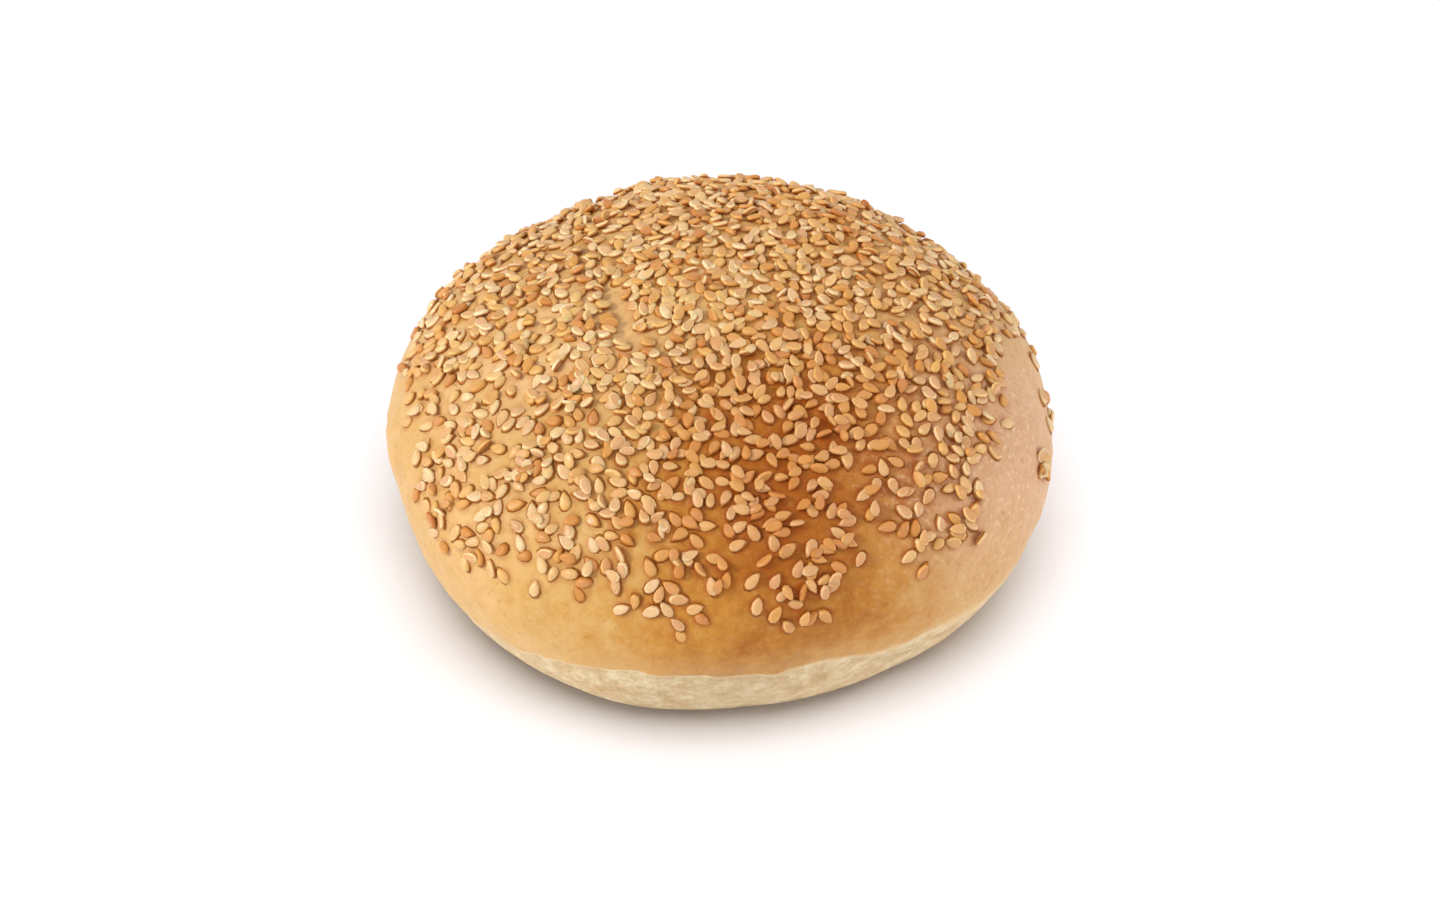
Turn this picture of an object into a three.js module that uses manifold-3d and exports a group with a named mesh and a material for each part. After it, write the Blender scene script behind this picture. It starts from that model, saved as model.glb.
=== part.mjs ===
// Sesame burger bun: an uncut, domed soft roll with a flat underside and sesame seeds baked onto its
// crown. Millimetres, +Z up. The origin is the middle of the underside, on the surface that the bun
// rests on, and -Y is its front.

import * as THREE from 'three';
import { mergeVertices } from 'three/addons/utils/BufferGeometryUtils.js';
import Module from 'manifold-3d';

// The dough: its greatest girth, its height without seeds, the level of that girth and the underside.
const GIRTH_DIAMETER = 115;
const DOUGH_HEIGHT = 53.5;
const GIRTH_LEVEL = 24.5;
const UNDERSIDE_DIAMETER = 95.5;
const TURN_SHARPNESS = 16; // a higher number turns the side into the underside more tightly
const UNDERSIDE_TRIM = 0.15; // taken off below, so that the underside is truly flat
const FACET_DETAIL = 8; // how finely the crust is divided

// How far the plan is from round, as shares of the radius: three and four soft corners.
const THREE_CORNERS = -0.0088;
const FOUR_CORNERS = -0.0086;

// Two long places on the crust, each from its first end to its last, in degrees.
const FURROW = { azimuth: 164.5, latitude: 53.5, last: { azimuth: 213, latitude: 57 } };
const RIGHT_STRIP = { azimuth: 331, latitude: 8.5, last: { azimuth: 3, latitude: 13.5 } };

// Broad hollows and swellings of the crust: where each lies, in degrees, its width as a share of the
// radius, and how far it lifts the crust.
const SWELLINGS = [
  { ...FURROW, width: 0.085, lift: -1 }, // on the left of the crown
  { azimuth: 216, latitude: 46, width: 0.18, lift: 0.6 }, // ridge in front of that furrow
  { azimuth: 268, latitude: 40, width: 0.2, lift: -0.5 }, // shallow dip above the front
  { azimuth: 326, latitude: 33, width: 0.22, lift: 0.7 }, // shoulder at the front right
  { azimuth: 302, latitude: -16, width: 0.25, lift: -0.7 }, // leaner side at the front right
  { azimuth: 196, latitude: -8, width: 0.22, lift: -0.8 }, // leaner side at the left
  { azimuth: 345, latitude: -4, width: 0.16, lift: 0.7 }, // fuller sides at the right
  { azimuth: 14, latitude: 9, width: 0.23, lift: 0.9 },
  { azimuth: 43, latitude: 15, width: 0.22, lift: -0.7 }, // flat place at the back right
  { azimuth: 84, latitude: 19, width: 0.15, lift: 0.4 }, // swellings at the back
  { azimuth: 104, latitude: 19, width: 0.15, lift: 0.7 },
  { azimuth: 129, latitude: 18, width: 0.15, lift: -0.7 }, // flat place at the back left
  { azimuth: 130, latitude: 38, width: 0.4, lift: -0.8 }, // lower shoulder above it
];
const UNEVENNESS = 0.25; // of the crust everywhere else

// A sesame seed, and how it sits in the crust. Many lie partly on others, and so stand a little higher
// than one that lies on the crust alone.
const SEED_LENGTH = 2.95;
const SEED_WIDTH = 1.8;
const SEED_EDGE_RISE = 0.4; // from the crust to its rim
const SEED_RISE = 0.95; // from the crust to its top
const SEED_ROOT = 4; // from its rim down to a point inside the dough, which joins it to the bun
const SEED_SIDES = 7;
const SEED_TAPER = 0.3; // 0 is an ellipse, and more is more pointed at one end
const SEED_SIZE_SPREAD = 0.12;
const SEED_TILT = 7; // degrees, at most

// Where the seeds lie: above a level that dips and rises round the bun, and not on the bare patches.
const SEED_COUNT = 290;
const SEED_SPACING = 4.4;
const SEED_LEVEL = 31;
const SEED_FADE_BELOW = 1.5; // from no seeds, this far below that level
const SEED_FADE_ABOVE = 10; // to all of them, this far above it
const SEED_LEVEL_DIPS = [
  { azimuth: 196, latitude: 0, width: 0.2, depth: -3.5 },
  { azimuth: 218, latitude: 0, width: 0.26, depth: 8.5 },
  { azimuth: 262, latitude: 0, width: 0.1, depth: 4.5 },
  { azimuth: 284, latitude: 0, width: 0.13, depth: 6.5 },
  { azimuth: 299, latitude: 0, width: 0.07, depth: -6 },
  { azimuth: 313, latitude: 0, width: 0.12, depth: 2.5 },
  { azimuth: 331, latitude: 0, width: 0.11, depth: -6 },
  { azimuth: 355, latitude: 0, width: 0.24, depth: 4.5 },
  { azimuth: 15, latitude: 0, width: 0.25, depth: 2 },
  { azimuth: 62, latitude: 0, width: 0.2, depth: -3 },
  { azimuth: 104, latitude: 0, width: 0.3, depth: 4 },
  { azimuth: 160, latitude: 0, width: 0.2, depth: -2 },
];
const BARE_PATCHES = [
  { ...FURROW, width: 0.04 },
  { ...RIGHT_STRIP, width: 0.08 },
];
const BARE_CORE = 0.4; // no seed lies where the nearness to a patch's middle is more than this
const DRAW_START = 20240;

const radians = THREE.MathUtils.degToRad;

function direction(azimuth, latitude) {
  return new THREE.Vector3(
    Math.cos(latitude) * Math.cos(azimuth),
    Math.cos(latitude) * Math.sin(azimuth),
    Math.sin(latitude),
  );
}

function middleOf({ azimuth, latitude }) {
  return direction(radians(azimuth), radians(latitude));
}

// Nearness of a direction to the middle of a feature, or to the line along a long one, from 1 there
// to 0 far away.
function nearness(toward, feature) {
  const closest = middleOf(feature);
  if (feature.last) {
    const line = new THREE.Line3(middleOf(feature), middleOf(feature.last));
    line.closestPointToPoint(toward, true, closest);
  }
  return Math.exp(-toward.distanceToSquared(closest) / feature.width ** 2);
}

// How far the crust stands out from its even shape.
function crustRelief(toward) {
  const { x, y, z } = toward;
  const broad = Math.sin(5.1 * x + 1.7 * z + 0.6) * Math.sin(4.3 * y - 2.1 * z + 1.9);
  const narrow = Math.sin(9.7 * x - 6.1 * y + 2.2) * Math.sin(8.9 * z + 5.3 * y + 0.4);
  const lifts = SWELLINGS.map((swelling) => swelling.lift * nearness(toward, swelling));
  return UNEVENNESS * (broad + narrow) + lifts.reduce((sum, lift) => sum + lift, 0);
}

// The point of the crust in a direction from the bun's middle, which is at the level of its girth.
// Above that level the shape is half an ellipsoid. Below, a deeper one meets the flat underside.
function crustPoint(azimuth, latitude) {
  const toward = direction(azimuth, latitude);
  const corners = THREE_CORNERS * Math.sin(3 * azimuth) + FOUR_CORNERS * Math.sin(4 * azimuth);
  const girthRadius = (GIRTH_DIAMETER / 2) * (1 + corners);
  const lowerDepth = GIRTH_LEVEL / Math.sqrt(1 - (UNDERSIDE_DIAMETER / GIRTH_DIAMETER) ** 2);
  const depth = latitude > 0 ? DOUGH_HEIGHT - GIRTH_LEVEL : lowerDepth;
  const even = 1 / Math.hypot(Math.cos(latitude) / girthRadius, Math.sin(latitude) / depth);
  let reach = even + crustRelief(toward);
  if (latitude < 0) {
    const toUnderside = (GIRTH_LEVEL + UNDERSIDE_TRIM) / -Math.sin(latitude);
    const blend = reach ** -TURN_SHARPNESS + toUnderside ** -TURN_SHARPNESS;
    reach = blend ** (-1 / TURN_SHARPNESS);
  }
  return toward.multiplyScalar(reach).setZ(toward.z + GIRTH_LEVEL);
}

function crustNormal(azimuth, latitude) {
  const step = 0.01;
  const east = crustPoint(azimuth + step, latitude).sub(crustPoint(azimuth - step, latitude));
  const north = crustPoint(azimuth, latitude + step).sub(crustPoint(azimuth, latitude - step));
  return east.cross(north).normalize();
}

// The facets are even on a ball pressed as flat as the bun, and so nearly even on the crust.
function crustGeometry() {
  const flatness = (DOUGH_HEIGHT - GIRTH_LEVEL) / (GIRTH_DIAMETER / 2);
  const geometry = new THREE.IcosahedronGeometry(1, FACET_DETAIL).scale(1, 1, flatness);
  const position = geometry.getAttribute('position');
  for (let i = 0; i < position.count; i++) {
    const toward = new THREE.Vector3().fromBufferAttribute(position, i).normalize();
    const point = crustPoint(Math.atan2(toward.y, toward.x), Math.asin(toward.z));
    position.setXYZ(i, point.x, point.y, point.z);
  }
  return geometry;
}

// Numbers from 0 to 1 in a fixed order, so that the seeds fall alike every time.
function drawer(start) {
  let state = start;
  return () => {
    state = (state + 0x6d2b79f5) | 0;
    let mixed = Math.imul(state ^ (state >>> 15), state | 1);
    mixed ^= mixed + Math.imul(mixed ^ (mixed >>> 7), mixed | 61);
    return ((mixed ^ (mixed >>> 14)) >>> 0) / 2 ** 32;
  };
}

// The chance that a seed stays where it falls, from 0 on the bare sides to 1 on the crown.
function seedCover(azimuth, latitude, level) {
  const outward = direction(azimuth, 0);
  const dips = SEED_LEVEL_DIPS.map((dip) => dip.depth * nearness(outward, dip));
  const lowest = dips.reduce((height, depth) => height - depth, SEED_LEVEL);
  const from = lowest - SEED_FADE_BELOW;
  const cover = THREE.MathUtils.smoothstep(level, from, lowest + SEED_FADE_ABOVE);
  const toward = direction(azimuth, latitude);
  const bare = BARE_PATCHES.map((patch) => Math.min(1, nearness(toward, patch) / BARE_CORE));
  return bare.reduce((share, taken) => share * (1 - taken), cover);
}

function seedPlaces() {
  const draw = drawer(DRAW_START);
  const places = [];
  while (places.length < SEED_COUNT) {
    const azimuth = 2 * Math.PI * draw();
    const latitude = Math.asin(draw());
    const chance = draw();
    const turn = 2 * Math.PI * draw();
    const scale = 1 + SEED_SIZE_SPREAD * (2 * draw() - 1);
    const tiltAcross = radians(SEED_TILT) * (2 * draw() - 1);
    const tiltAlong = radians(SEED_TILT) * (2 * draw() - 1);
    const point = crustPoint(azimuth, latitude);
    const stays = chance < seedCover(azimuth, latitude, point.z);
    if (stays && places.every((other) => other.point.distanceTo(point) > SEED_SPACING)) {
      const normal = crustNormal(azimuth, latitude);
      places.push({ point, normal, turn, scale, tiltAcross, tiltAlong });
    }
  }
  return places;
}

// A seed lying on the XY plane: a drop-shaped rim, with one point above it and one deep below.
function seedGeometry() {
  const geometry = new THREE.SphereGeometry(1, SEED_SIDES, 2).rotateX(Math.PI / 2);
  const position = geometry.getAttribute('position');
  for (let i = 0; i < position.count; i++) {
    const [x, y, z] = [position.getX(i), position.getY(i), position.getZ(i)];
    const width = SEED_WIDTH * (1 - SEED_TAPER * x);
    const height = z > 0 ? SEED_RISE - SEED_EDGE_RISE : SEED_ROOT;
    position.setXYZ(i, (x * SEED_LENGTH) / 2, (y * width) / 2, SEED_EDGE_RISE + z * height);
  }
  return geometry;
}

const wasm = await Module();
wasm.setup();

function solidFrom(geometry) {
  const bare = geometry.clone().deleteAttribute('normal').deleteAttribute('uv');
  const merged = mergeVertices(bare);
  return new wasm.Manifold(new wasm.Mesh({
    numProp: 3,
    vertProperties: merged.getAttribute('position').array,
    triVerts: new Uint32Array(merged.index.array),
  }));
}

function geometryFrom(solid) {
  const { vertProperties, triVerts } = solid.getMesh();
  const geometry = new THREE.BufferGeometry();
  geometry.setAttribute('position', new THREE.BufferAttribute(vertProperties, 3));
  geometry.setIndex(new THREE.BufferAttribute(triVerts, 1));
  geometry.computeVertexNormals();
  return geometry;
}

function seededBun() {
  const slab = new THREE.BoxGeometry(2 * GIRTH_DIAMETER, 2 * GIRTH_DIAMETER, DOUGH_HEIGHT);
  slab.translate(0, 0, -DOUGH_HEIGHT / 2);
  let bun = solidFrom(crustGeometry()).subtract(solidFrom(slab));
  const seed = seedGeometry();
  const up = new THREE.Vector3(0, 0, 1);
  for (const { point, normal, turn, scale, tiltAcross, tiltAlong } of seedPlaces()) {
    const upright = new THREE.Quaternion().setFromUnitVectors(up, normal);
    const leaning = new THREE.Euler(tiltAcross, tiltAlong, turn, 'ZYX');
    const turned = upright.multiply(new THREE.Quaternion().setFromEuler(leaning));
    const placed = new THREE.Matrix4().compose(point, turned, new THREE.Vector3(scale, scale, 1));
    bun = bun.add(solidFrom(seed.clone().applyMatrix4(placed)));
  }
  return geometryFrom(bun);
}

const crust = new THREE.MeshStandardMaterial({ color: 0xd79f62, roughness: 0.5, metalness: 0 });
const bun = new THREE.Mesh(seededBun(), crust);
bun.name = 'bun';

const part = new THREE.Group();
part.add(bun);
export default part;
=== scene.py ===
import math

import bpy
import numpy as np
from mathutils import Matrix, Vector
from mathutils.kdtree import KDTree


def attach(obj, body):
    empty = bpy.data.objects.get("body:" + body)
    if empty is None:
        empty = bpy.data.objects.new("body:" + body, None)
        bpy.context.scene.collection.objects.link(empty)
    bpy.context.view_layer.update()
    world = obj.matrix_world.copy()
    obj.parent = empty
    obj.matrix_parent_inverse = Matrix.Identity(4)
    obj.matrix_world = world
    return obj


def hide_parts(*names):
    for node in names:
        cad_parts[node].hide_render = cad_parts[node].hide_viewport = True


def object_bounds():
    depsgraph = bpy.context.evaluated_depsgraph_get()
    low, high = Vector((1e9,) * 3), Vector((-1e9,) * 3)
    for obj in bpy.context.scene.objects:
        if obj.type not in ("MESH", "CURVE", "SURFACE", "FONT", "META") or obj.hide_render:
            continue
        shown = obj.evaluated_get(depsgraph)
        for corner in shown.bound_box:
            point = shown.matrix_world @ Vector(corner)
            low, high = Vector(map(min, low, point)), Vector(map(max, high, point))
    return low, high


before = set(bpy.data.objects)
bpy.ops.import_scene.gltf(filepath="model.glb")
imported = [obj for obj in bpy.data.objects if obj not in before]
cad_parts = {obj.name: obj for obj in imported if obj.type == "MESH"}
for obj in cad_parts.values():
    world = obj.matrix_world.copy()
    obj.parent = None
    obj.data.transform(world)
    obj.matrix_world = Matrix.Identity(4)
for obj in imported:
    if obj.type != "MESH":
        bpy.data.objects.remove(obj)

CAD_BOUNDS = [list(corner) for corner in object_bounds()]
MM = 0.001
TINY = 1e-9  # keeps a divisor from being 0

# The dough as the solid has it. Places on it are an azimuth and a latitude in degrees, seen from a
# middle at the level of its girth, and a width is a share of the radius.
GIRTH_DIAMETER = 115 * MM
DOUGH_HEIGHT = 53.5 * MM
GIRTH_LEVEL = 24.5 * MM
UNDERSIDE_DIAMETER = 95.5 * MM
TURN_SHARPNESS = 16
UNDERSIDE_TRIM = 0.15 * MM
THREE_CORNERS = -0.0088
FOUR_CORNERS = -0.0086
UNEVENNESS = 0.25 * MM
FURROW = {"azimuth": 164.5, "latitude": 53.5, "last": {"azimuth": 213, "latitude": 57}}
RIGHT_STRIP = {"azimuth": 331, "latitude": 8.5, "last": {"azimuth": 3, "latitude": 13.5}}
SWELLINGS = [
    {**FURROW, "width": 0.085, "lift": -1.0 * MM},
    {"azimuth": 216, "latitude": 46, "width": 0.18, "lift": 0.6 * MM},
    {"azimuth": 268, "latitude": 40, "width": 0.20, "lift": -0.5 * MM},
    {"azimuth": 326, "latitude": 33, "width": 0.22, "lift": 0.7 * MM},
    {"azimuth": 302, "latitude": -16, "width": 0.25, "lift": -0.7 * MM},
    {"azimuth": 196, "latitude": -8, "width": 0.22, "lift": -0.8 * MM},
    {"azimuth": 345, "latitude": -4, "width": 0.16, "lift": 0.7 * MM},
    {"azimuth": 14, "latitude": 9, "width": 0.23, "lift": 0.9 * MM},
    {"azimuth": 43, "latitude": 15, "width": 0.22, "lift": -0.7 * MM},
    {"azimuth": 84, "latitude": 19, "width": 0.15, "lift": 0.4 * MM},
    {"azimuth": 104, "latitude": 19, "width": 0.15, "lift": 0.7 * MM},
    {"azimuth": 129, "latitude": 18, "width": 0.15, "lift": -0.7 * MM},
    {"azimuth": 130, "latitude": 38, "width": 0.40, "lift": -0.8 * MM},
]

# The crust's mesh, and the fine relief that the solid leaves out.
CRUST_CELLS = 118  # along each edge of the cube that is blown up into the crust
MAP_TILES = (3, 2)  # of the bake's map, across and up, one for each side of that cube
MAP_MARGIN = 0.01  # round each tile, as a share of it
NOISE_CELLS = 32  # along each edge of the lattice, after which the noise repeats
ROUGH_NOISE_DIVISOR = 1.2
NORMAL_STEP = 0.008  # how far to each side the slope is taken, as a share of the radius
LUMP_SIZE = 9 * MM
LUMP_HEIGHT = 0.3 * MM
WRINKLE_SIZE = 2.4 * MM
WRINKLE_HEIGHT = 0.12 * MM
RELIEF_FADE = 6 * MM  # above the underside, where the relief grows to its full height
CREASE = {"azimuth": 167, "latitude": 52, "last": {"azimuth": 211, "latitude": 55.5}, "width": 0.016}
CREASE_DEPTH = 0.8 * MM

# The pale side that stayed unbrowned, below a level that rises and dips round the bun.
BAND_TOP = 14 * MM
BAND_RISES = [
    {"azimuth": 262, "latitude": 0, "width": 0.75, "rise": 4 * MM},
    {"azimuth": 222, "latitude": 0, "width": 0.30, "rise": -4.8 * MM},
    {"azimuth": 60, "latitude": 0, "width": 0.60, "rise": 2.5 * MM},
    {"azimuth": 140, "latitude": 0, "width": 0.50, "rise": -1.5 * MM},
]
BAND_RAGGED = 1.3 * MM
BAND_RAGGED_SIZE = 9 * MM
BAND_BLUR = 0.7 * MM
BAND_BLURS = [{"azimuth": 322, "latitude": 0, "width": 0.45, "more": 3.6 * MM}]
BAND_RECESS = 0.15 * MM
BAND_FADE = 8 * MM  # how far above it the browned crust is still a little paler

# How brown the crust is, from 0 to 1, and where it is browner or paler. Some places paint light and shade
# too: the browner ones at azimuths 278 and 288 are partly painted shade, the paler ones on the left and on
# the right flank partly painted light.
BROWNING = 0.5
BROWNINGS_AND_PAINTED_LIGHT = [
    {"azimuth": 278, "latitude": 2, "width": 0.50, "more": 0.36},
    {"azimuth": 240, "latitude": 0, "width": 0.30, "more": -0.06},
    {"azimuth": 288, "latitude": 38, "width": 0.50, "more": 0.50},
    {"azimuth": 205, "latitude": 12, "width": 0.75, "more": -0.10},
    {"azimuth": 190, "latitude": 52, "width": 0.55, "more": -0.20},
    {"azimuth": 312, "latitude": 2, "width": 0.25, "more": -0.12},
    {"azimuth": 345, "latitude": 5, "width": 0.40, "more": -0.08},
    {"azimuth": 75, "latitude": 20, "width": 0.60, "more": 0.14},
]
BROWN_PATCH = 0.12
BROWN_PATCH_SIZE = 16 * MM
BROWN_FLECK = 0.05
BROWN_FLECK_SIZE = 3 * MM

# Where the crust is dusty and rosy rather than golden, and paler with a painted sheen.
ROSY_AND_SHEEN_PLACES = [
    {"azimuth": 342, "latitude": 12, "width": 0.42, "share": 1.0},
    {"azimuth": 316, "latitude": 14, "width": 0.22, "share": 0.5},
]

# Where the baked underside ends, by height, and the glaze round a seed, partly painted contact shade, by
# distance from its middle.
UNDERSIDE_ENDS = (0.3 * MM, 1.6 * MM)
GLAZE_AND_SHADE_ENDS = (1.0 * MM, 2.0 * MM)

# The seeds that the solid has, by the same rule and the same draws.
SEED_LENGTH = 2.95 * MM
SEED_WIDTH = 1.8 * MM
SEED_SIZE_SPREAD = 0.12
SEED_TILT = 7
SEED_COUNT = 290
SEED_TRIES = 8 * SEED_COUNT
SEED_SPACING = 4.4 * MM
SEED_LEVEL = 31 * MM
SEED_FADE_BELOW = 1.5 * MM
SEED_FADE_ABOVE = 10 * MM
SEED_LEVEL_DIPS = [
    {"azimuth": 196, "latitude": 0, "width": 0.20, "depth": -3.5 * MM},
    {"azimuth": 218, "latitude": 0, "width": 0.26, "depth": 8.5 * MM},
    {"azimuth": 262, "latitude": 0, "width": 0.10, "depth": 4.5 * MM},
    {"azimuth": 284, "latitude": 0, "width": 0.13, "depth": 6.5 * MM},
    {"azimuth": 299, "latitude": 0, "width": 0.07, "depth": -6 * MM},
    {"azimuth": 313, "latitude": 0, "width": 0.12, "depth": 2.5 * MM},
    {"azimuth": 331, "latitude": 0, "width": 0.11, "depth": -6 * MM},
    {"azimuth": 355, "latitude": 0, "width": 0.24, "depth": 4.5 * MM},
    {"azimuth": 15, "latitude": 0, "width": 0.25, "depth": 2 * MM},
    {"azimuth": 62, "latitude": 0, "width": 0.20, "depth": -3 * MM},
    {"azimuth": 104, "latitude": 0, "width": 0.30, "depth": 4 * MM},
    {"azimuth": 160, "latitude": 0, "width": 0.20, "depth": -2 * MM},
]
BARE_PATCHES = [
    {**FURROW, "width": 0.04},
    {**RIGHT_STRIP, "width": 0.08},
]
BARE_CORE = 0.4  # the nearness to a bare patch from which on it has no seeds at all

# What is drawn for each seed, in this order. A spare number isn't used.
LAID_COLUMNS = ("turn", "size", "across", "along")
PLACE_COLUMNS = ("azimuth", "height", "chance", *LAID_COLUMNS)
STREWN_COLUMNS = (*PLACE_COLUMNS, "kind", "spare")
HEAP_COLUMNS = ("apart", "angle", "spare", *LAID_COLUMNS)
SHAPE_COLUMNS = ("pointed", "slim", "bend", "tone", "blush", "hollow")
DRAW_START = 20240
STREWN_START = 77
SHAPE_START = 78
HEAP_START = 79

# The rest of the seeds, strewn between those. They keep further from the furrow, and fewer of them
# lie on the crown's left.
STREWN_TRIES = 22000
STREWN_COUNT = 1640
STREWN_TILT = 18
STREWN_BARE = {**FURROW, "width": 0.05}
SPARSER = {"azimuth": 200, "latitude": 42, "width": 0.4, "less": 0.3}
CLUMP_SIZE = 7 * MM
CLUMP_COVER = 0.8  # what a middling place keeps
CLUMP_SWING = 0.6  # how far clumps and gaps depart from that
CROWDED_FROM = 36 * MM
CROWDED_ABOVE = 48 * MM
UNCROWDED_COVER = 0.65  # below those levels, as a share of that above them
SEED_APART = 1.35 * MM  # between the ends of two seeds, on the crust
PILED_SHARE = 0.2  # of the draws are for seeds that lie on others
PILED_WITHIN = 1.2 * MM  # of the end of a seed on the crust
PILED_APART = 2.2 * MM
PILED_LIFT = 0.5 * MM
PILED_TILT = 24
EDGE_SHARE = 0.04  # of the draws are for seeds that stand on edge
EDGE_APART = 0.7 * SEED_APART
EDGE_LIFT = 0.45 * MM
EDGE_TILT = 60
HEAPS = [
    {"azimuth": 195, "latitude": 33.5, "height": 1.2 * MM},
    {"azimuth": 221.5, "latitude": 39, "height": 1.2 * MM},
    {"azimuth": 226, "latitude": 21.5, "height": 0.8 * MM},
    {"azimuth": 140, "latitude": 57, "height": 1.2 * MM},
    {"azimuth": 343, "latitude": 4.5, "height": 0},
]
HEAP_SEEDS = 8
HEAP_RADIUS = 2.4 * MM
HEAP_LIFT = 0.2 * MM

# One seed: a drop-shaped plump plate, whose field is hollow in some seeds and domed in others.
SEED_THICKNESS = 1.0 * MM
SEED_SUNK = 0.25 * MM
SEED_SIDES = 10
SEED_POINTED = (0.3, 0.85)  # least and most
SEED_POINTED_WIDER = 0.28  # what a pointedness of 1 would add to the width, as a share
SEED_SLIMMEST = 0.92
SEED_SLIM_SPREAD = 0.16
SEED_HOLLOW = 0.14
SEED_DOMED = 0.6  # the highest dome, as a share of the deepest hollow
SEED_BEND = 0.25  # from the tips bent furthest down to furthest up, as a share of half the length
SEED_RINGS = [  # distance from the seed's middle line and height, as shares
    (0.62, 0.96),
    (0.82, 0.86),
    (0.95, 0.64),
    (1.00, 0.42),
]
SEED_FLARE = 1.3  # how far out the browned wash, with its painted contact shade, goes that joins a lying seed to the crust, as a share
SEED_FOOT = 0.86  # the same of a seed that is raised
SEED_FOOT_HEIGHT = 0.12
SEED_BAKED_FROM = 0.35  # the browning of the crust, painted light and shade included, from which on the seeds on it are browned and shaded too
SEED_MAP_CELL = 1.5 * SEED_LENGTH  # what each seed's cell in the bake's map is across

# How strongly some of the looks show, as shares.
ROSY_AND_SHEEN_STRENGTH = 0.8
FADE_STRENGTH = 0.35
SPECKS_ANYWHERE = 0.12
GLAZE_AND_SHADE_ANYWHERE = 0.05
GLAZE_AND_SHADE_BY_BROWNING = 0.75
SEED_BAKED_STRENGTH = 0.85
FIELD_ANYWAY = 0.4
FIELD_BY_BLUSH = 0.6

# The photograph's view: lens and sensor in millimetres, elevation in degrees, the rest in metres.
CAMERA_LENS = 85
CAMERA_SENSOR = 36
CAMERA_ELEVATION = 41
CAMERA_DISTANCE = 0.5967
CAMERA_TARGET = (0.3 * MM, 0, 17.95 * MM)
FLOOR_SIZE = 4

# Far lamps, with the directions that they stand in and how wide they look from here, in degrees.
BUN_LAMPS = [
    {"name": "key", "azimuth": 198, "elevation": 34, "spread": 10, "strength": 1.7, "tint": "#FFFBF4"},
    {"name": "front", "azimuth": 240, "elevation": 45, "spread": 40, "strength": 0.4, "tint": "#FFFCF8"},
    {"name": "side", "azimuth": 358, "elevation": 14, "spread": 12, "strength": 0.9, "tint": "#FFFAF6"},
    {"name": "dome", "azimuth": 0, "elevation": 90, "spread": 170, "strength": 0.9, "tint": "#FFFFFF"},
]
FLOOR_LAMPS = [
    {"name": "sweep", "azimuth": 270, "elevation": 75, "spread": 40, "strength": 2.1, "tint": "#FFFFFF"},
    {"name": "floor_dome", "azimuth": 0, "elevation": 90, "spread": 170, "strength": 0.4, "tint": "#FFFFFF"},
]
WORLD_STRENGTH = 0.36


def direction(azimuth, latitude):
    across = np.cos(latitude)
    return np.stack([across * np.cos(azimuth), across * np.sin(azimuth), np.sin(latitude)], axis=-1)


def unit(vectors):
    return vectors / np.maximum(np.linalg.norm(vectors, axis=-1, keepdims=True), TINY)


def middle_of(place):
    return direction(math.radians(place["azimuth"]), math.radians(place["latitude"]))


def nearness(toward, feature):
    """Nearness of directions to the middle of a feature, or to the line along a long one, from 1
    there to 0 far away."""
    closest = middle_of(feature)
    if "last" in feature:
        along = middle_of(feature["last"]) - closest
        share = np.clip((toward - closest) @ along / (along @ along), 0, 1)
        closest = closest + share[..., None] * along
    return np.exp(-((toward - closest) ** 2).sum(axis=-1) / feature["width"] ** 2)


def total(toward, features, what):
    return sum(feature[what] * nearness(toward, feature) for feature in features)


def smoothstep(value, low, high):
    share = np.clip((value - low) / (high - low), 0, 1)
    return share * share * (3 - 2 * share)


def noise(points, size, seed):
    """Smooth noise from -1 to 1 between random values on a lattice of that size."""
    lattice = np.random.default_rng(seed).uniform(-1, 1, 3 * [NOISE_CELLS])
    place = np.asarray(points) / size
    cell = np.floor(place).astype(int)
    share = place - cell
    share = share ** 3 * (share * (share * 6 - 15) + 10)
    value = 0
    for corner in np.ndindex(2, 2, 2):
        weight = np.prod(np.where(corner, share, 1 - share), axis=-1)
        i, j, k = np.moveaxis((cell + corner) % NOISE_CELLS, -1, 0)
        value = value + weight * lattice[i, j, k]
    return value


def rough_noise(points, size, seed, octaves=3):
    """Noise with finer layers on it, each half as large and as high as the one before."""
    layers = [noise(points, size / 2 ** n, seed + n) / 2 ** n for n in range(octaves)]
    return sum(layers) / ROUGH_NOISE_DIVISOR


def crust_relief(toward):
    """How far the crust stands out from its even shape, as the solid has it."""
    x, y, z = np.moveaxis(toward, -1, 0)
    broad = np.sin(5.1 * x + 1.7 * z + 0.6) * np.sin(4.3 * y - 2.1 * z + 1.9)
    narrow = np.sin(9.7 * x - 6.1 * y + 2.2) * np.sin(8.9 * z + 5.3 * y + 0.4)
    return UNEVENNESS * (broad + narrow) + total(toward, SWELLINGS, "lift")


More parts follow.
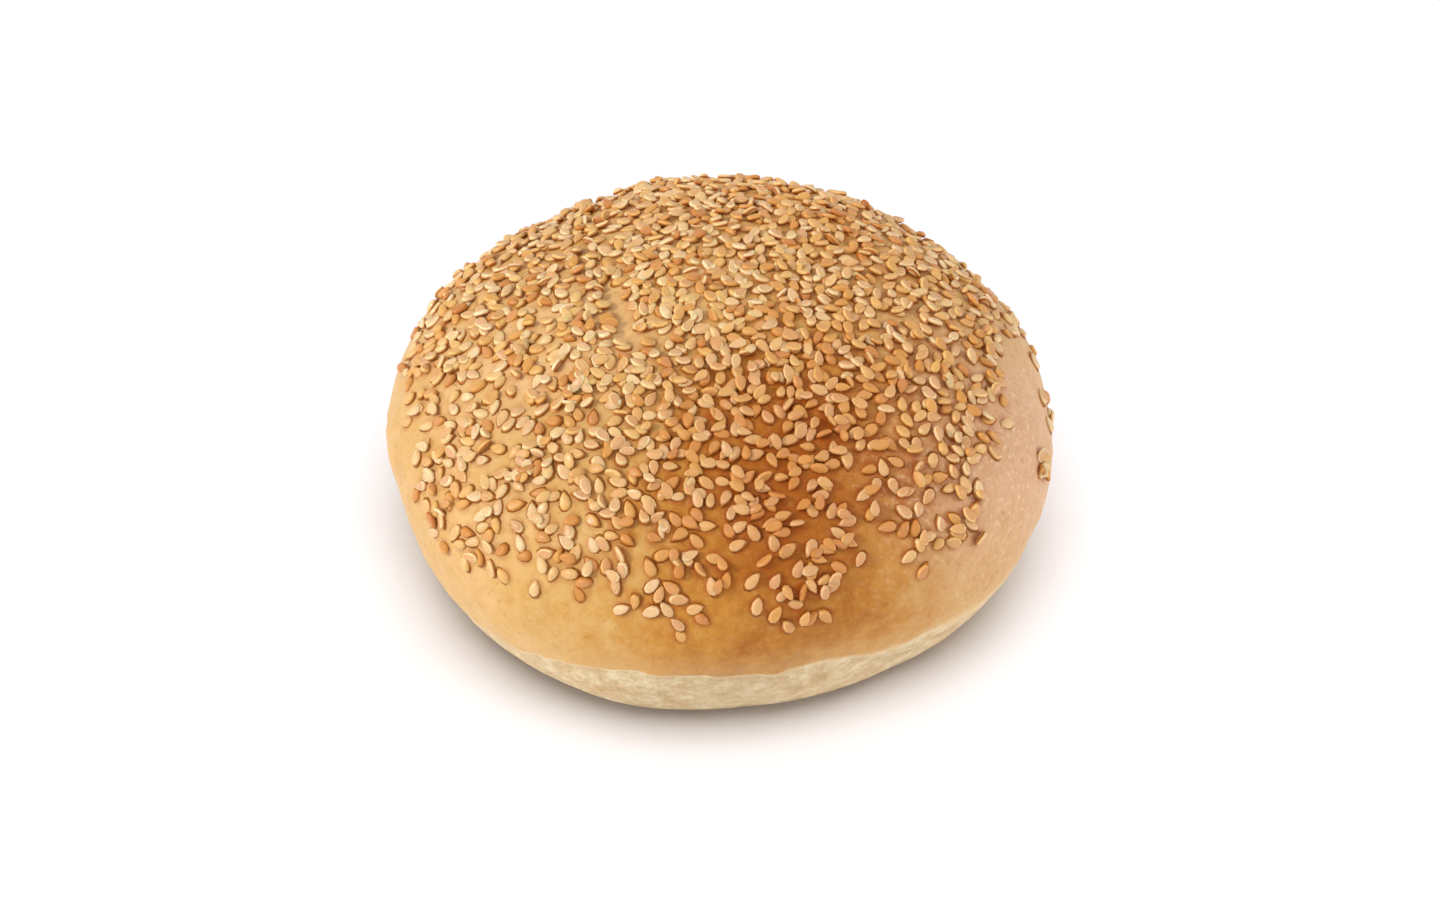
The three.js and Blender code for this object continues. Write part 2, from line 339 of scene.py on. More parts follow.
def crust_points(toward, finer=0.0):
    """The points of the crust in directions from the bun's middle, as the solid has them, or with
    finer relief."""
    azimuth = np.arctan2(toward[..., 1], toward[..., 0])
    sine = toward[..., 2]
    corners = THREE_CORNERS * np.sin(3 * azimuth) + FOUR_CORNERS * np.sin(4 * azimuth)
    girth_radius = GIRTH_DIAMETER / 2 * (1 + corners)
    lower_depth = GIRTH_LEVEL / math.sqrt(1 - (UNDERSIDE_DIAMETER / GIRTH_DIAMETER) ** 2)
    depth = np.where(sine > 0, DOUGH_HEIGHT - GIRTH_LEVEL, lower_depth)
    even = 1 / np.hypot(np.sqrt(1 - sine ** 2) / girth_radius, sine / depth)
    reach = even + crust_relief(toward) + finer
    to_underside = (GIRTH_LEVEL + UNDERSIDE_TRIM) / np.maximum(-sine, TINY)
    # Both lengths are taken as shares of the girth, so that their powers stay near 1.
    powers = [(length / GIRTH_DIAMETER) ** -TURN_SHARPNESS for length in (reach, to_underside)]
    blended = GIRTH_DIAMETER * sum(powers) ** (-1 / TURN_SHARPNESS)
    reach = np.where(sine < 0, blended, reach)
    points = toward * reach[..., None]
    points[..., 2] = np.maximum(points[..., 2] + GIRTH_LEVEL, 0)
    return points


def outward_of(toward):
    """The same directions laid level."""
    return unit(toward * (1, 1, 0))


def sideways(toward):
    """For each direction, the two square to it: level to the east, and up to the north."""
    east = unit(np.stack([-toward[..., 1], toward[..., 0], 0 * toward[..., 2]], axis=-1))
    return east, np.cross(toward, east)


def band_shares(points, toward):
    """1 on the pale side and 0 on the browned crust, first sharply and then with a wide fade above."""
    outward = outward_of(toward)
    top = BAND_TOP + total(outward, BAND_RISES, "rise")
    top = top + BAND_RAGGED * rough_noise(points, BAND_RAGGED_SIZE, seed=11)
    blur = BAND_BLUR + total(outward, BAND_BLURS, "more")
    level = points[..., 2]
    return 1 - smoothstep(level, top - blur, top + blur), 1 - smoothstep(level, top, top + BAND_FADE)


def browned_and_painted_light(points, toward):
    """How brown the crust is, from about 0 to 1, with the painted light and shade of some of its places."""
    patches = BROWN_PATCH * rough_noise(points, BROWN_PATCH_SIZE, seed=51)
    flecks = BROWN_FLECK * noise(points, BROWN_FLECK_SIZE, seed=55)
    return BROWNING + total(toward, BROWNINGS_AND_PAINTED_LIGHT, "more") + (patches + flecks)


def fine_relief(toward):
    """Lumps and wrinkles of the browned crust, its crease, and the slightly sunken pale side."""
    points = crust_points(toward)
    lumps = LUMP_HEIGHT * rough_noise(points, LUMP_SIZE, seed=21, octaves=2)
    wrinkles = WRINKLE_HEIGHT * rough_noise(points, WRINKLE_SIZE, seed=31, octaves=2)
    sunken = BAND_RECESS * band_shares(points, toward)[0] + CREASE_DEPTH * nearness(toward, CREASE)
    return smoothstep(points[..., 2], 0, RELIEF_FADE) * (lumps + wrinkles - sunken)


def fine_points(toward):
    """The points of the finer crust, which nowhere stands out of the solid's box."""
    return np.clip(crust_points(toward, fine_relief(toward)), *CAD_BOUNDS)


def fine_normals(toward):
    east, north = sideways(toward)

    def moved(side):
        return fine_points(unit(toward + NORMAL_STEP * side))

    return unit(np.cross(moved(east) - moved(-east), moved(north) - moved(-north)))


def cube_ball(cells, flatness):
    """Directions spread over a ball pressed to that flatness, the quads between them, and for each
    quad's corner its place in a map with one tile for each side of the cube."""
    steps = np.tan(np.linspace(-1, 1, cells + 1) * math.pi / 4)
    across, along = np.meshgrid(steps, steps, indexing="ij")
    index = np.arange((cells + 1) ** 2).reshape(cells + 1, cells + 1)
    ring = [index[:-1, :-1], index[1:, :-1], index[1:, 1:], index[:-1, 1:]]
    quads = np.stack(ring, axis=-1).reshape(-1, 4)
    share = np.linspace(MAP_MARGIN, 1 - MAP_MARGIN, cells + 1)
    tile = np.stack(np.meshgrid(share, share, indexing="ij"), axis=-1).reshape(-1, 2)
    points, faces, places = [], [], []
    for side in range(6):
        sign = 1 if side % 2 else -1
        grid = [np.full_like(across, sign), across, along]
        points.append(np.stack(np.roll(grid, side // 2, axis=0), axis=-1).reshape(-1, 3))
        turned = quads if sign > 0 else quads[:, ::-1]
        faces.append(turned + side * index.size)
        corner = side % MAP_TILES[0], side // MAP_TILES[0]
        places.append((tile + corner)[turned] / MAP_TILES)
    points = np.concatenate(points)
    points, merged = np.unique(np.round(points, decimals=9), axis=0, return_inverse=True)
    faces = merged.reshape(-1)[np.concatenate(faces)]
    return unit(unit(points) * (1, 1, flatness)), faces, np.concatenate(places)


def mesh_object(name, points, faces, places, attributes):
    """A smooth mesh with its map for the bake and a number for each vertex under each name."""
    mesh = bpy.data.meshes.new(name)
    mesh.from_pydata(points.tolist(), [], faces.tolist())
    mesh.uv_layers.new(name="OFBake").uv.foreach_set("vector", places.astype(np.float32).ravel())
    for label, values in attributes.items():
        layer = mesh.attributes.new(label, "FLOAT", "POINT")
        layer.data.foreach_set("value", np.asarray(values, np.float32))
    mesh.shade_smooth()
    thing = bpy.data.objects.new(name, mesh)
    bpy.context.scene.collection.objects.link(thing)
    return thing


def drawer(start):
    """Numbers from 0 to 1 in the fixed order that the solid's seeds are drawn in."""
    state, whole = start, 2 ** 32
    while True:
        state = (state + 0x6D2B79F5) % whole
        mixed = (state ^ state >> 15) * (state | 1) % whole
        mixed ^= (mixed + (mixed ^ mixed >> 7) * (mixed | 61)) % whole
        yield (mixed ^ mixed >> 14) / whole


def drawn(start, count, columns):
    """A table of draws with that many rows, drawn row by row, as one array under each column's name."""
    draw = drawer(start)
    rows = np.array([[next(draw) for _ in columns] for _ in range(count)])
    return dict(zip(columns, rows.T))


def picked(table, chosen):
    return {name: values[chosen] for name, values in table.items()}


def fallen(draws):
    """Directions spread evenly over the upper half of a ball."""
    return direction(2 * math.pi * draws["azimuth"], np.arcsin(draws["height"]))


def laid(draws, tilt):
    """Turn, size and tilts of seeds that are tilted up to that many degrees each way."""
    return {
        "turn": 2 * math.pi * draws["turn"],
        "size": 1 + SEED_SIZE_SPREAD * (2 * draws["size"] - 1),
        "across": np.radians(tilt) * (2 * draws["across"] - 1),
        "along": np.radians(tilt) * (2 * draws["along"] - 1),
    }


def gap(points, others):
    """The least distance from any of the points to any of the others."""
    apart = points[:, None] - np.reshape(others, (-1, 3))
    return np.linalg.norm(apart, axis=-1).min(initial=np.inf)


def bared(toward, patch):
    """The share of seeds that a bare patch leaves, from 0 in its core to 1 far away."""
    return 1 - np.minimum(nearness(toward, patch) / BARE_CORE, 1)


def seed_cover(toward, level):
    """The chance that a seed stays where it falls, from 0 on the bare sides to 1 on the crown."""
    lowest = SEED_LEVEL - total(outward_of(toward), SEED_LEVEL_DIPS, "depth")
    cover = smoothstep(level, lowest - SEED_FADE_BELOW, lowest + SEED_FADE_ABOVE)
    for patch in BARE_PATCHES:
        cover = cover * bared(toward, patch)
    return cover


def solid_seeds():
    """Direction, turn, size, tilts and lift of the seeds that the solid has."""
    draws = drawn(DRAW_START, SEED_TRIES, PLACE_COLUMNS)
    toward = fallen(draws)
    points = crust_points(toward)
    stays = draws["chance"] < seed_cover(toward, points[:, 2])
    chosen = []
    for i in np.flatnonzero(stays):
        if len(chosen) < SEED_COUNT and gap(points[i, None], points[chosen]) > SEED_SPACING:
            chosen.append(i)
    return {
        "toward": toward[chosen],
        **laid(picked(draws, chosen), SEED_TILT),
        "lift": np.zeros(len(chosen)),
    }


def frames(normals, turns, across, along):
    """Rotation matrices that lay a seed on a surface, turn it there, and tilt it both ways."""
    x, y, z = np.moveaxis(normals, -1, 0)
    fold = 1 / (1 + z)
    upright = [1 - x * x * fold, -x * y * fold, x,
               -x * y * fold, 1 - y * y * fold, y,
               -x, -y, z]
    zero, one = np.zeros_like(turns), np.ones_like(turns)

    def turning(angle, about):
        c, s = np.cos(angle), np.sin(angle)
        cells = {"z": [c, -s, zero, s, c, zero, zero, zero, one],
                 "y": [c, zero, s, zero, one, zero, -s, zero, c],
                 "x": [one, zero, zero, zero, c, -s, zero, s, c]}[about]
        return np.stack(cells, axis=-1).reshape(-1, 3, 3)

    turned = turning(turns, "z") @ turning(along, "y") @ turning(across, "x")
    return np.stack(upright, axis=-1).reshape(-1, 3, 3) @ turned


def strewn_seeds(first):
    """The rest of the seeds. Those on the crust keep their ends clear of the ends of the others
    there, and the piled ones lie on them."""
    draws = drawn(STREWN_START, STREWN_TRIES, STREWN_COLUMNS)
    toward = fallen(draws)
    points = fine_points(toward)
    crowded = smoothstep(points[:, 2], CROWDED_FROM, CROWDED_ABOVE)
    clumps = UNCROWDED_COVER + (1 - UNCROWDED_COVER) * crowded
    clumps = clumps * (CLUMP_COVER + CLUMP_SWING * noise(points, CLUMP_SIZE, seed=41))
    cover = seed_cover(toward, points[:, 2]) * (1 - SPARSER["less"] * nearness(toward, SPARSER))
    stays = draws["chance"] < cover * bared(toward, STREWN_BARE) * clumps
    piled = draws["kind"] < PILED_SHARE
    on_edge = draws["kind"] > 1 - EDGE_SHARE
    reach = 0.5 * (SEED_LENGTH - SEED_WIDTH)

    def ends(where, normal, turn):
        lying = frames(normal, turn, 0 * turn, 0 * turn)[:, :, 0]
        return np.stack([where - reach * lying, where + reach * lying], axis=1)

    own = ends(points, fine_normals(toward), 2 * math.pi * draws["turn"])
    taken = ends(fine_points(first["toward"]), fine_normals(first["toward"]), first["turn"])
    taken = list(taken.reshape(-1, 3))
    heaped = []
    chosen = []
    for i in np.flatnonzero(stays):
        if len(chosen) == STREWN_COUNT:
            break
        apart = gap(own[i], taken)
        if piled[i]:
            if apart < PILED_WITHIN and gap(points[i, None], heaped) > PILED_APART:
                chosen.append(i)
                heaped.append(points[i])
        elif apart > (EDGE_APART if on_edge[i] else SEED_APART):
            chosen.append(i)
            taken.extend(own[i])
    piled, on_edge = piled[chosen], on_edge[chosen]
    seeds = laid(picked(draws, chosen), np.where(piled, PILED_TILT, STREWN_TILT))
    upended = math.radians(EDGE_TILT) * np.sign(seeds["across"])
    return {
        "toward": toward[chosen],
        **seeds,
        "across": np.where(on_edge, upended, seeds["across"]),
        "lift": np.where(piled, PILED_LIFT, np.where(on_edge, EDGE_LIFT, 0)),
    }


def heaped_seeds():
    """Small heaps, whose seeds lie higher the nearer they are to the heap's middle."""
    draws = drawn(HEAP_START, len(HEAPS) * HEAP_SEEDS, HEAP_COLUMNS)
    middles = np.repeat([middle_of(heap) for heap in HEAPS], HEAP_SEEDS, axis=0)
    apart = np.sqrt(draws["apart"])
    angle = 2 * math.pi * draws["angle"]
    reach = np.linalg.norm(crust_points(middles) - (0, 0, GIRTH_LEVEL), axis=-1)
    east, north = sideways(middles)
    aside = np.cos(angle)[:, None] * east + np.sin(angle)[:, None] * north
    return {
        "toward": unit(middles + aside * (HEAP_RADIUS * apart / reach)[:, None]),
        **laid(draws, PILED_TILT),
        "lift": np.repeat([heap["height"] for heap in HEAPS], HEAP_SEEDS) * (1 - apart) + HEAP_LIFT,
    }


def seed_shapes(draws, lying):
    """Points of every seed lying on the XY plane, the faces of one, and each point's distance from
    the seed's middle as a share."""
    count = len(lying)
    angle = 2 * math.pi * np.arange(SEED_SIDES) / SEED_SIDES
    least, most = SEED_POINTED
    pointed = (least + (most - least) * draws["pointed"])[:, None]
    slim = (SEED_SLIMMEST + SEED_SLIM_SPREAD * draws["slim"])[:, None]
    outline_x = np.broadcast_to(np.cos(angle), (count, SEED_SIDES)) * SEED_LENGTH / 2
    narrowing = np.abs(np.sin(angle / 2)) ** pointed * (1 + SEED_POINTED_WIDER * pointed)
    outline_y = np.sin(angle) * narrowing * SEED_WIDTH / 2 * slim

    def ring(share, height):
        level = np.full_like(outline_x, height * SEED_THICKNESS)
        return np.stack([outline_x * share, outline_y * share, level], axis=-1)

    foot = np.where(lying, SEED_FLARE, SEED_FOOT)[:, None]
    rings = [ring(share, height) for share, height in SEED_RINGS] + [ring(foot, SEED_FOOT_HEIGHT)]
    shares = np.repeat([share for share, height in SEED_RINGS] + [SEED_FLARE], SEED_SIDES)
    top = np.full((count, 1, 3), (0, 0, SEED_RINGS[0][1] * SEED_THICKNESS))
    bottom = np.zeros((count, 1, 3))
    points = np.concatenate([top, *rings, bottom], axis=1)
    hollow = SEED_HOLLOW * ((1 + SEED_DOMED) * draws["hollow"] - SEED_DOMED) * SEED_THICKNESS
    points[:, :1 + SEED_SIDES, 2] -= hollow[:, None]
    bend = SEED_BEND * (draws["bend"] - 0.5)
    points[..., 2] += bend[:, None] * points[..., 0] ** 2 / (SEED_LENGTH / 2)
    points[..., 2] -= SEED_SUNK
    i = np.arange(SEED_SIDES)
    j = (i + 1) % SEED_SIDES
    faces = [np.stack([0 * i, 1 + i, 1 + j], axis=-1)]
    for step in range(len(SEED_RINGS)):
        inner = 1 + step * SEED_SIDES
        outer = inner + SEED_SIDES
        faces.append(np.stack([inner + i, outer + i, outer + j], axis=-1))
        faces.append(np.stack([inner + i, outer + j, inner + j], axis=-1))
    last = 1 + len(SEED_RINGS) * SEED_SIDES
    faces.append(np.stack([last + j, last + i, 0 * i + last + SEED_SIDES], axis=-1))
    return points, np.concatenate(faces), np.concatenate([[0], shares, [0]])


def seed_mesh(seeds):
    """All the seeds as one mesh on the fine crust, each in a cell of its own in the bake's map."""
    count = len(seeds["turn"])
    draws = drawn(SHAPE_START, count, SHAPE_COLUMNS)
    shapes, faces, shares = seed_shapes(draws, seeds["lift"] == 0)
    shapes[..., :2] *= seeds["size"][:, None, None]
    normals = fine_normals(seeds["toward"])
    turned = frames(normals, seeds["turn"], seeds["across"], seeds["along"])
    middles = fine_points(seeds["toward"])
    raised = np.einsum("nij,npj->npi", turned, shapes) + (normals * seeds["lift"][:, None])[:, None]
    height = np.einsum("npi,ni->np", raised, normals) / SEED_THICKNESS
    points = raised + middles[:, None]
    # A seed that would stand out of the solid's box is pressed into the dough.
    low, high = CAD_BOUNDS
    outside = np.maximum(points.max(axis=1) - high, 0) + np.minimum(points.min(axis=1) - low, 0)
    points -= outside[:, None]
    each = len(shares)
    all_faces = (faces[None] + each * np.arange(count)[:, None, None]).reshape(-1, 3)
    cells = math.ceil(math.sqrt(count))
    corner = np.stack([np.arange(count) % cells, np.arange(count) // cells], axis=-1)
    # A seed's cell has its top in one half and its foot in the other.
    half = 0.5 * (np.arange(each) >= 1 + len(SEED_RINGS) * SEED_SIDES)
    flat = (shapes[..., :2] / SEED_MAP_CELL + 0.5) * (1, 0.5) + np.stack([0 * half, half], axis=-1)
    places = ((flat + corner[:, None]) / cells).reshape(-1, 2)[all_faces]
    # Seeds on browner crust are browned too, and darker where the crust has painted shade.
    baked_and_painted_light = np.clip(browned_and_painted_light(middles, seeds["toward"]) - SEED_BAKED_FROM, 0, 1)
    attributes = {
        "tone": np.repeat(draws["tone"], each),
        "blush": np.repeat(draws["blush"], each),
        "baked_and_painted_light": np.repeat(baked_and_painted_light, each),
        "edge": np.tile(shares, count) / SEED_FLARE,
        "height": height.ravel(),
        "along": (shapes[..., 0] / SEED_LENGTH + 0.5).ravel(),
    }
    return points.reshape(-1, 3), all_faces, places, attributes, middles


def colour(text):
    """A colour written as the photograph shows it, in sRGB, as the renderer's linear numbers."""
    values = [int(text[i:i + 2], 16) / 255 for i in (1, 3, 5)]
    return tuple(v / 12.92 if v < 0.04045 else ((v + 0.055) / 1.055) ** 2.4 for v in values) + (1,)


class Nodes:
    """Short ways to add nodes to a material and join them."""

    def __init__(self, name):
        self.material = bpy.data.materials.new(name)
        self.material.use_nodes = True
        self.tree = self.material.node_tree
        self.shader = self.tree.nodes["Principled BSDF"]

    def put(self, socket, value):
        if isinstance(value, bpy.types.NodeSocket):
            self.tree.links.new(value, socket)
        else:
            socket.default_value = value

    def fill(self, node, inputs):
        for name, value in inputs.items():
            self.put(node.inputs[name.replace("_", " ")], value)

    def add(self, kind, **inputs):
        node = self.tree.nodes.new(kind)
        self.fill(node, inputs)
        return node

    def shade(self, **inputs):
        """Sets the shader's inputs and gives the finished material."""
        self.fill(self.shader, inputs)
        return self.material

    def number(self, attribute):
        node = self.add("ShaderNodeAttribute")
        node.attribute_name = attribute
        return node.outputs["Fac"]

    def scaled(self, attribute, strength):
        return self.maths("MULTIPLY", self.number(attribute), strength)

    def place(self):
        return self.add("ShaderNodeTexCoord").outputs["Object"]

    def noise(self, scale, detail=3.0, roughness=0.5):
        """Noise with that many cells to the metre, from 0 to 1."""
        node = self.add(
            "ShaderNodeTexNoise", Scale=scale, Detail=detail, Roughness=roughness, Vector=self.place())
        return node.outputs["Fac"]

    def swing(self, reach, scale, detail, roughness):
        """Noise round 0, with that reach from its lowest to its highest."""
        level = self.maths("SUBTRACT", self.noise(scale, detail, roughness), 0.5)
        return self.maths("MULTIPLY", level, reach)

    def cells(self, scale):
        """Distance from the middles of cells, of which that many go to the metre."""
        node = self.add("ShaderNodeTexVoronoi", Scale=scale, Vector=self.place())
        return node.outputs["Distance"]

    def ramp(self, value, *stops):
        """A colour ramp through stops of place and colour, or place and number."""
        node = self.add("ShaderNodeValToRGB", Fac=value)
        elements = node.color_ramp.elements
        while len(elements) < len(stops):
            elements.new(0.5)
        for element, (where, what) in zip(elements, stops):
            element.position = where
            element.color = colour(what) if isinstance(what, str) else (what, what, what, 1)
        return node.outputs["Color"]

    def mix(self, share, first, second):
        node = self.add("ShaderNodeMix")
        node.data_type = "RGBA"
        # Its colours go into sockets 6 and 7 and come out of socket 2.
        sockets = node.inputs["Factor"], node.inputs[6], node.inputs[7]
        for socket, value in zip(sockets, (share, first, second)):
            self.put(socket, colour(value) if isinstance(value, str) else value)
        return node.outputs[2]

    def maths(self, how, first, second):
        node = self.add("ShaderNodeMath")
        node.operation = how
        self.put(node.inputs[0], first)
        self.put(node.inputs[1], second)
        return node.outputs[0]

    def bump(self, height, distance, strength, normal=None):
        node = self.add("ShaderNodeBump", Height=height, Distance=distance, Strength=strength)
        if normal:
            self.put(node.inputs["Normal"], normal)
        return node.outputs["Normal"]


def crust_material():
    n = Nodes("baked_crust")
    # Golden brown, mottled, rosy with a painted sheen in places, browner and paler where shade and light are
    # painted in, and a little paler just above the pale side.
    browning_and_painted_light = n.maths("ADD", n.number("browning_and_painted_light"), n.swing(0.5, 420, 4.0, 0.65))
    baked_and_painted_light = n.ramp(
        browning_and_painted_light, (0.0, "#F0D0A2"), (0.25, "#E2B67C"), (0.5, "#D4A863"), (0.75, "#C88A36"), (1.0, "#AA6110"))
    rosy_dust_and_sheen = n.ramp(browning_and_painted_light, (0.0, "#E8C5A8"), (0.5, "#DEAE8B"), (1.0, "#C3885C"))
    # Rosy and paler in places: dust, and a painted sheen.
    baked_and_painted_light = n.mix(n.scaled("rosy_dust_and_sheen", ROSY_AND_SHEEN_STRENGTH), baked_and_painted_light, rosy_dust_and_sheen)
    baked_and_painted_light = n.mix(n.scaled("fade", FADE_STRENGTH), baked_and_painted_light, "#DDBB82")
    # Pale specks that gather in places, most of them where it is rosy with painted sheen, and dark pits,
    # which are painted shade.
    specks = n.ramp(n.noise(1100, 3.0), (0.55, 0.0), (0.68, 0.8))
    gathered = n.ramp(n.noise(110, 3.0), (0.4, 0.35), (0.6, 1.0))
    dusted = n.maths("ADD", n.scaled("rosy_dust_and_sheen", ROSY_AND_SHEEN_STRENGTH), SPECKS_ANYWHERE)
    dusted = n.maths("MULTIPLY", dusted, gathered)
    baked_and_painted_light = n.mix(n.maths("MULTIPLY", specks, dusted), baked_and_painted_light, "#F3D3AC")
    # Dark pits: painted shade.
    pit_shade = n.ramp(n.noise(1100, 2.0), (0.26, 0.35), (0.37, 0.0))
    baked_and_painted_light = n.mix(pit_shade, baked_and_painted_light, "#9A5A22")
    # The pale side, with fine creases and pores that are painted shade, an uneven edge and a light lip along
    # it.
    floury = n.ramp(n.noise(320, 6.0, 0.65), (0.34, "#C9A97C"), (0.5, "#D8BF95"), (0.66, "#E6D5B0"))
    # Fine creases and pores, darkened: painted shade.
    crease_shade = n.ramp(n.noise(200, 4.0, 0.6), (0.475, 0.0), (0.5, 0.35), (0.525, 0.0))
    floury = n.mix(crease_shade, floury, "#A98C62")
    pore_shade = n.ramp(n.cells(520), (0.05, 0.55), (0.12, 0.0))
    floury = n.mix(pore_shade, floury, "#A38A5E")
    uneven_band = n.maths("ADD", n.number("band"), n.swing(1.6, 240, 5.0, 0.65))
    look = n.mix(n.ramp(uneven_band, (0.34, 0.0), (0.66, 1.0)), baked_and_painted_light, floury)
    lip = n.ramp(n.number("band"), (0.1, 0.0), (0.5, 0.45), (0.9, 0.0))
    look = n.mix(lip, look, "#F1DCB2")
    # The underside that lay on the tray, and the darker glaze round the seeds, partly painted contact shade.
    tray = n.ramp(n.noise(260, 5.0, 0.65), (0.35, "#C48F54"), (0.5, "#D2A268"), (0.65, "#DEB680"))
    look = n.mix(n.number("underside"), look, tray)
    glazed_and_shaded = n.maths("ADD", n.maths("MULTIPLY", browning_and_painted_light, GLAZE_AND_SHADE_BY_BROWNING), GLAZE_AND_SHADE_ANYWHERE)
    # Darker crust round each seed: glaze, and painted contact shade.
    look = n.mix(n.maths("MULTIPLY", n.number("glaze_and_contact_shade"), glazed_and_shaded), look, "#A04C08")
    rough = n.ramp(n.noise(300), (0.3, 0.38), (0.7, 0.55))
    rough = n.mix(n.number("band"), rough, (0.85, 0.85, 0.85, 1))
    skin = n.bump(n.noise(330, 4.0, 0.6), distance=0.35 * MM, strength=0.5)
    skin = n.bump(n.noise(1300, 3.0, 0.6), distance=0.14 * MM, strength=0.6, normal=skin)
    skin = n.bump(n.number("glaze_and_contact_shade"), distance=0.3 * MM, strength=0.5, normal=skin)
    return n.shade(
        Base_Color=look,
        Roughness=rough,
        Normal=skin,
        Subsurface_Weight=0.1,
        Subsurface_Radius=(1.0, 0.45, 0.15),
        Subsurface_Scale=1.5 * MM,
        Specular_IOR_Level=0.22,
        Sheen_Weight=0.05,
        Sheen_Roughness=0.5,
        Sheen_Tint=colour("#F2D2B0"),
    )


def seed_material():
    n = Nodes("sesame")
    tones = (0.0, "#FFEBBE"), (0.45, "#F9D999"), (0.75, "#F0C373"), (0.92, "#DF9F4E"), (1.0, "#C67D38")
    body = n.ramp(n.number("tone"), *tones)
    # Browner where the crust is, and darker where its shade is painted.
    body = n.mix(n.scaled("baked_and_painted_light", SEED_BAKED_STRENGTH), body, "#C87A2B")
    # A duller field inside a lighter rim.
    field = n.ramp(
        n.number("edge"), (0.3, 0.7), (0.5, 0.75), (0.56, 1.0), (0.62, 0.0), (0.73, 0.0), (0.78, 0.7))
    blushing = n.maths("ADD", n.scaled("blush", FIELD_BY_BLUSH), FIELD_ANYWAY)
    centre = n.mix(n.number("blush"), "#D0944A", "#CC8A5C")
    body = n.mix(n.maths("MULTIPLY", field, blushing), body, centre)
    # The browned wash at its foot and flared edge, partly painted contact shade.
    wash_and_contact_shade = n.mix(n.number("baked_and_painted_light"), "#B46C20", "#863806")
    # Darker toward its bottom: the wash, and painted contact shade.
    foot = n.ramp(n.number("height"), (0.0, 0.8), (0.32, 0.0))
    body = n.mix(foot, body, wash_and_contact_shade)
    body = n.mix(n.ramp(n.number("edge"), (0.77, 0.0), (0.82, 0.95)), body, wash_and_contact_shade)
    # One darker tip, and faint patches all over.
    tip = n.ramp(n.number("along"), (0.88, 0.0), (1.0, 0.6))
    body = n.mix(tip, body, "#B4682A")
    body = n.mix(n.ramp(n.noise(900), (0.35, 0.2), (0.65, 0.0)), body, "#CF9048")
    return n.shade(
        Base_Color=body,
        Roughness=n.ramp(n.noise(700), (0.3, 0.26), (0.7, 0.44)),
        Normal=n.bump(n.noise(1800, 2.0), distance=0.07 * MM, strength=0.6),
        Subsurface_Weight=0.25,
        Subsurface_Radius=(1.0, 0.5, 0.15),
        Subsurface_Scale=0.9 * MM,
        Specular_IOR_Level=0.4,
    )


def floor_material():
    n = Nodes("white_sweep")
    return n.shade(
        Base_Color=n.ramp(n.noise(3), (0.3, "#F5F3F8"), (0.7, "#F6F5F9")),
        Roughness=0.9,
        Specular_IOR_Level=0.1,
    )


def make_crust(seed_middles):
    flatness = (DOUGH_HEIGHT - GIRTH_LEVEL) / (GIRTH_DIAMETER / 2)
    toward, faces, places = cube_ball(CRUST_CELLS, flatness)
    points = fine_points(toward)
    tree = KDTree(len(seed_middles))
    for i, middle in enumerate(seed_middles):
        tree.insert(middle, i)
    tree.balance()
    apart = np.array([tree.find(point)[2] for point in points])
    band, fade = band_shares(points, toward)
    attributes = {
        "browning_and_painted_light": browned_and_painted_light(points, toward),
        "band": band,
        "fade": fade,
        # Where the crust is rosy and paler: dust, and a painted sheen.
        "rosy_dust_and_sheen": np.minimum(total(toward, ROSY_AND_SHEEN_PLACES, "share"), 1),
        "underside": 1 - smoothstep(points[:, 2], *UNDERSIDE_ENDS),
        # The glaze round each seed, which also paints its contact shade.
        "glaze_and_contact_shade": 1 - smoothstep(apart, *GLAZE_AND_SHADE_ENDS),
    }
    crust = mesh_object("bun_crust", points, faces, places, attributes)
    crust.data.materials.append(crust_material())
    return crust


def make_seeds():
    first = solid_seeds()
    groups = [first, strewn_seeds(first), heaped_seeds()]
    seeds = {name: np.concatenate([group[name] for group in groups]) for name in first}
    points, faces, places, attributes, middles = seed_mesh(seeds)
    thing = mesh_object("sesame_seeds", points, faces, places, attributes)
    thing.data.materials.append(seed_material())
    return thing, middles


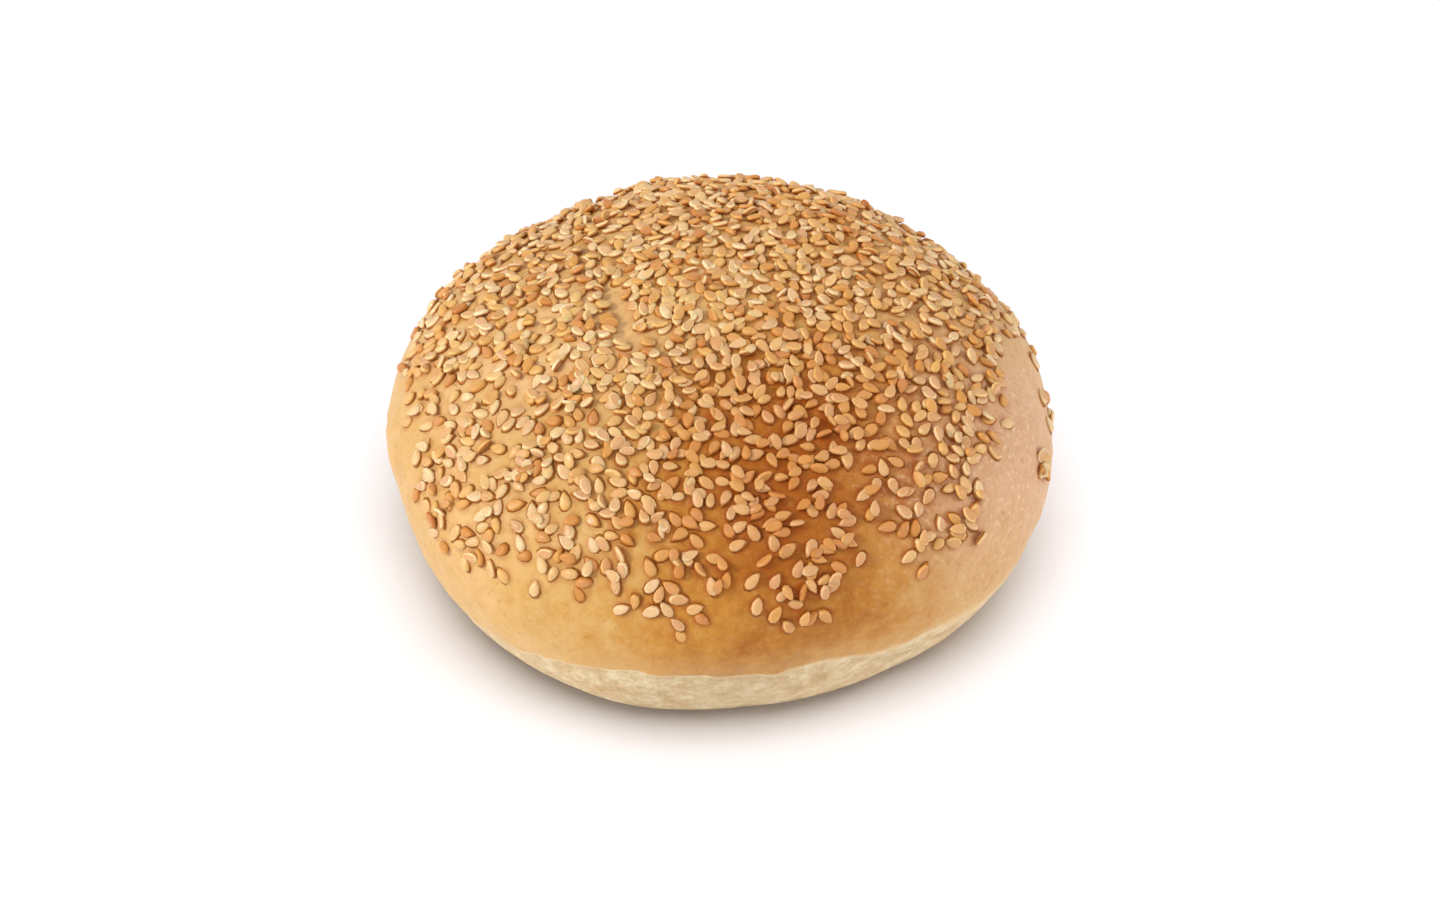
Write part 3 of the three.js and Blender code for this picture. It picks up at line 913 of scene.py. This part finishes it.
def make_floor():
    bpy.ops.mesh.primitive_plane_add(size=FLOOR_SIZE)
    floor = bpy.context.object
    floor.name = "floor"
    floor.data.materials.append(floor_material())
    return floor


def aim(thing, place, target):
    thing.location = place
    thing.rotation_euler = (Vector(target) - Vector(place)).to_track_quat("-Z", "Y").to_euler()


def make_camera():
    camera = bpy.data.objects.new("camera", bpy.data.cameras.new("camera"))
    camera.data.lens = CAMERA_LENS
    camera.data.sensor_width = CAMERA_SENSOR
    camera.data.sensor_fit = "HORIZONTAL"
    elevation = math.radians(CAMERA_ELEVATION)
    target = Vector(CAMERA_TARGET)
    aim(camera, target + CAMERA_DISTANCE * Vector((0, -math.cos(elevation), math.sin(elevation))), target)
    bpy.context.scene.collection.objects.link(camera)
    bpy.context.scene.camera = camera


def add_sun(lit, name, azimuth, elevation, spread, strength, tint):
    """A far lamp that lights only those things, with a disc spread degrees wide for soft shadows."""
    light = bpy.data.lights.new(name, "SUN")
    light.angle = math.radians(spread)
    light.energy = strength
    light.color = colour(tint)[:3]
    lamp = bpy.data.objects.new(name, light)
    aim(lamp, direction(math.radians(azimuth), math.radians(elevation)), (0, 0, 0))
    bpy.context.scene.collection.objects.link(lamp)
    receivers = bpy.data.collections.new(name + "_receivers")
    for thing in lit:
        receivers.objects.link(thing)
    lamp.light_linking.receiver_collection = receivers


def make_lights(bun, floor):
    for lit, lamps in ((bun, BUN_LAMPS), (floor, FLOOR_LAMPS)):
        for lamp in lamps:
            add_sun(lit, **lamp)
    world = bpy.data.worlds.new("studio")
    world.use_nodes = True
    background = world.node_tree.nodes["Background"]
    background.inputs["Color"].default_value = (1.0, 1.0, 1.0, 1)
    background.inputs["Strength"].default_value = WORLD_STRENGTH
    bpy.context.scene.world = world


make_camera()
floor = make_floor()
seeds, seed_middles = make_seeds()
crust = make_crust(seed_middles)
make_lights([crust, seeds], [floor])
for piece in (crust, seeds):
    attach(piece, "root")
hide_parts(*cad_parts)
bpy.context.scene.view_settings.view_transform = "Standard"
